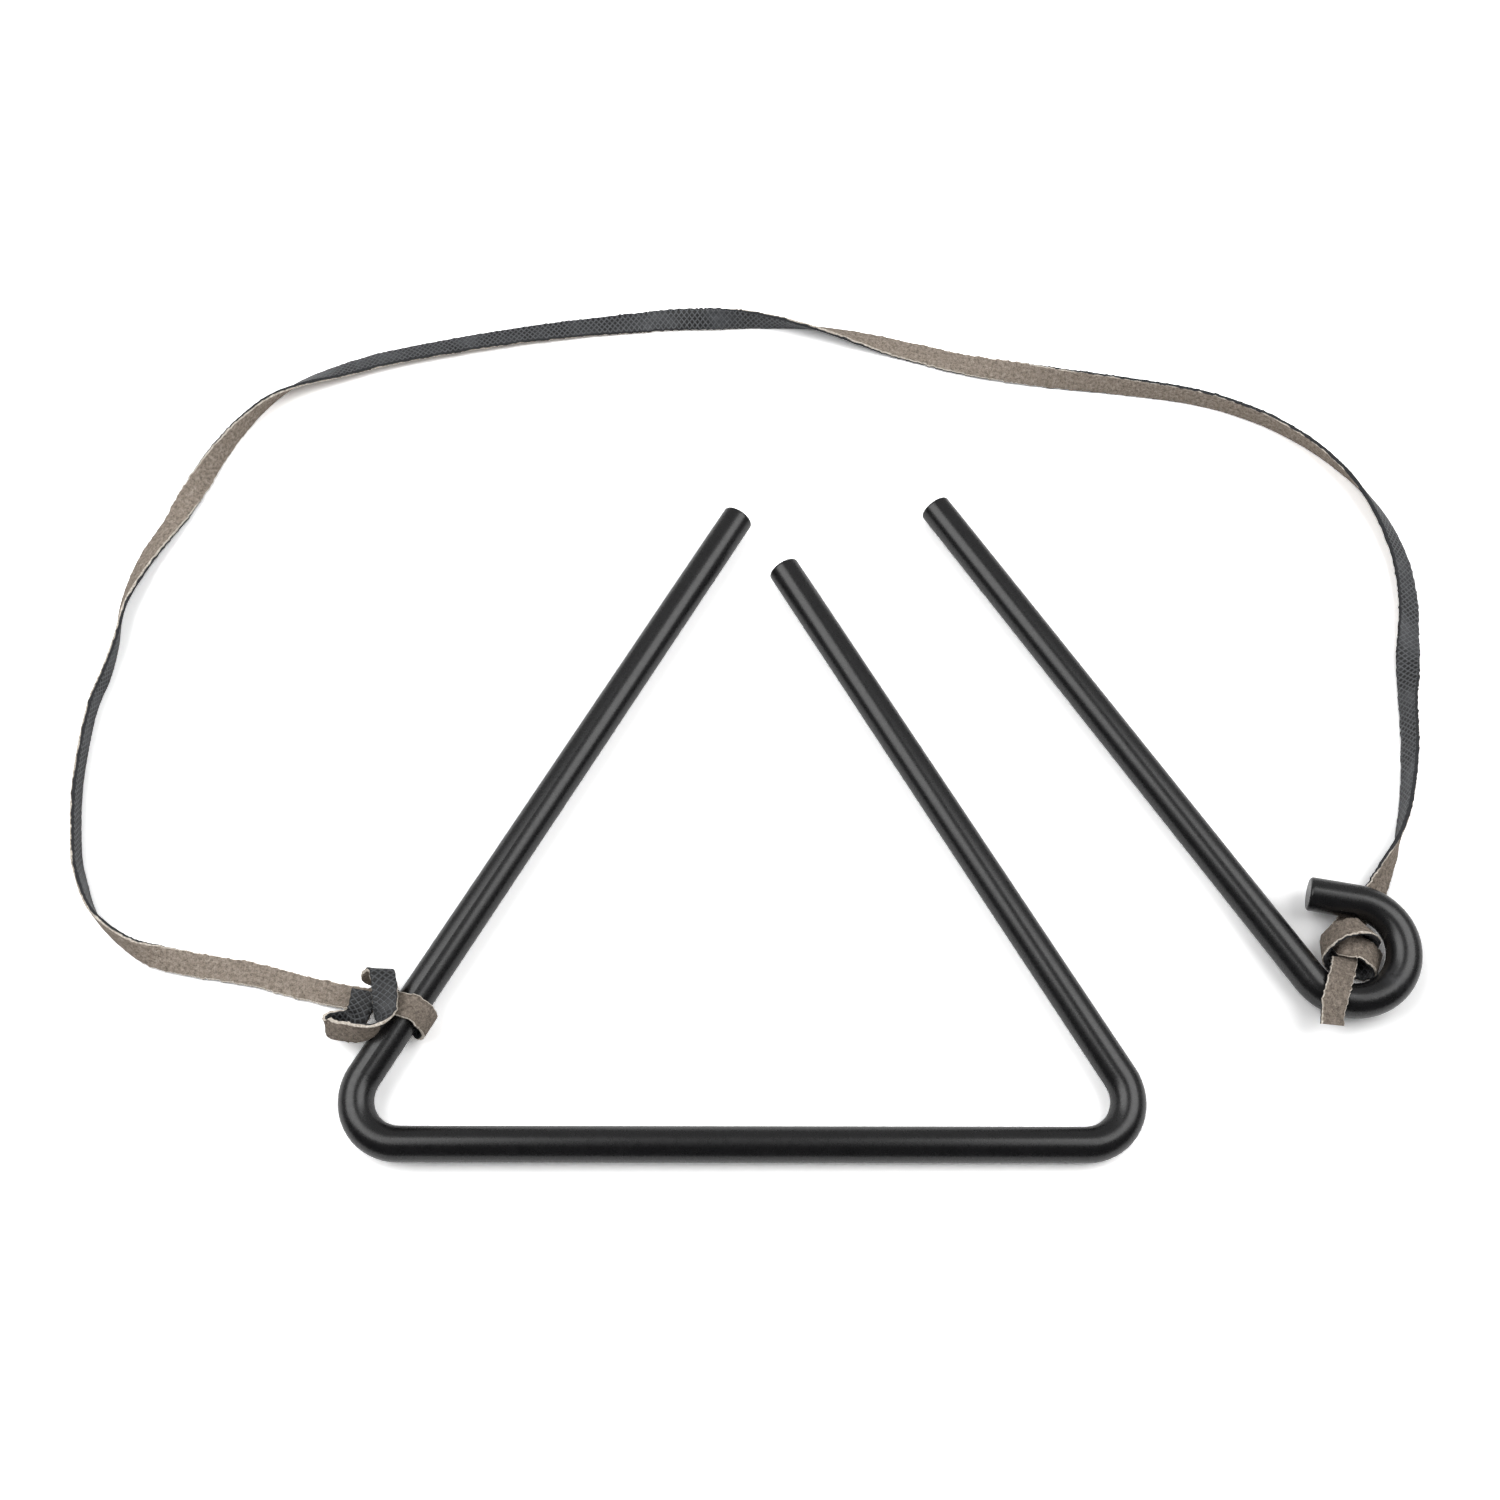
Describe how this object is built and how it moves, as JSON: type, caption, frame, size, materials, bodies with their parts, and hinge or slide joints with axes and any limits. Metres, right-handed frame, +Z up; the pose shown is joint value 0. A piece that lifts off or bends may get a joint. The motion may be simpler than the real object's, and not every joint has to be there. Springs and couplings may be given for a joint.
{
  "type": "triangle dinner bell",
  "caption": "Dinner bell triangle bent from round steel bar, open at one corner, with a bar striker whose eye is tied to the triangle's leg by a flat leather lace.",
  "frame": {"origin": "middle of the footprint of the lying triangle and striker, on the surface they lie on", "axes": "+X along the triangle's base towards the striker, +Y from the base to the open corner, +Z up from the surface"},
  "size_m": [0.398, 0.2757, 0.0178],
  "materials": {
    "black_bar": "satin black coating on round steel bar",
    "lace_leather": "embossed charcoal grain side, grey suede flesh side, pale cut edges"
  },
  "bodies": {
    "triangle": {"triangle_bar": "black_bar"},
    "lace": {"lace_run": "lace_leather", "triangle_hitch": "lace_leather", "striker_knot": "lace_leather"},
    "striker": {"striker_bar": "black_bar"}
  },
  "joints": [
    {"name": "hitch_slide", "type": "slide", "parent": "triangle", "child": "lace", "axis": [0.5, 0.866, 0], "range_m": [-0.006, 0.165]},
    {"name": "striker_swing", "type": "hinge", "parent": "lace", "child": "striker", "pos_m": [0.1281, -0.0438, 0.0067], "axis": [0, 0, 1], "range_deg": [-18, 11.5]}
  ]
}
